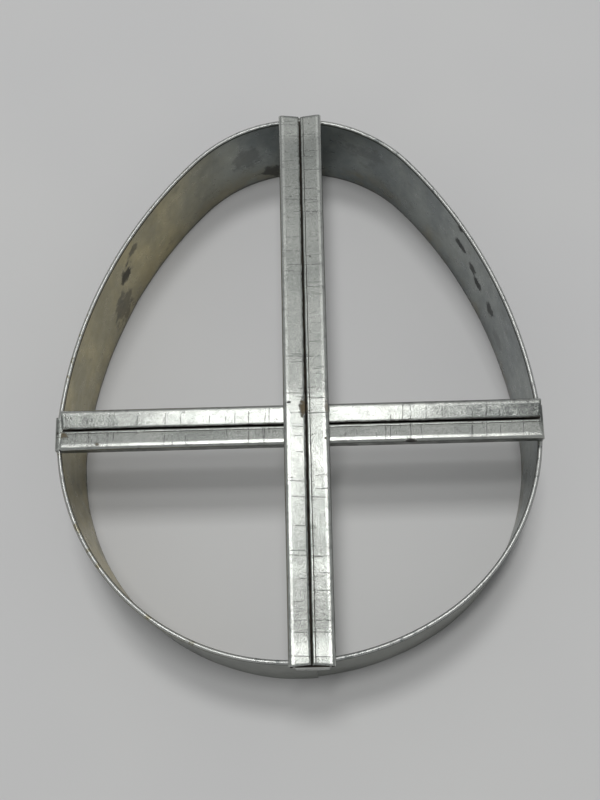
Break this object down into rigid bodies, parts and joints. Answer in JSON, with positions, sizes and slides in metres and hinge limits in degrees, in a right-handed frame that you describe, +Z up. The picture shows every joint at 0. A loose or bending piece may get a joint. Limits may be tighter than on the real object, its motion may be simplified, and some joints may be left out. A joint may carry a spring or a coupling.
{
  "type": "egg-shaped dough cutter",
  "caption": "Egg-shaped sheet-metal dough cutter: an open band with a curled top edge and two folded straps that cross over it as its handle.",
  "frame": {"origin": "under the middle of the egg, on the surface that the cutting edge stands on", "axes": "+Z up from the cutting edge to the straps, +Y along the egg's long axis towards its small end, +X to the right seen from above"},
  "size_m": [0.1292, 0.1548, 0.041],
  "materials": {
    "tinplate": "dull worn tin plating",
    "solder": "dull tin solder"
  },
  "bodies": {
    "root": {"cutting_band": "tinplate", "long_strap": "tinplate", "cross_strap": "tinplate", "tip_solder": "solder", "blunt_solder": "solder", "left_solder": "solder", "right_solder": "solder", "crossing_solder": "solder"}
  },
  "joints": []
}
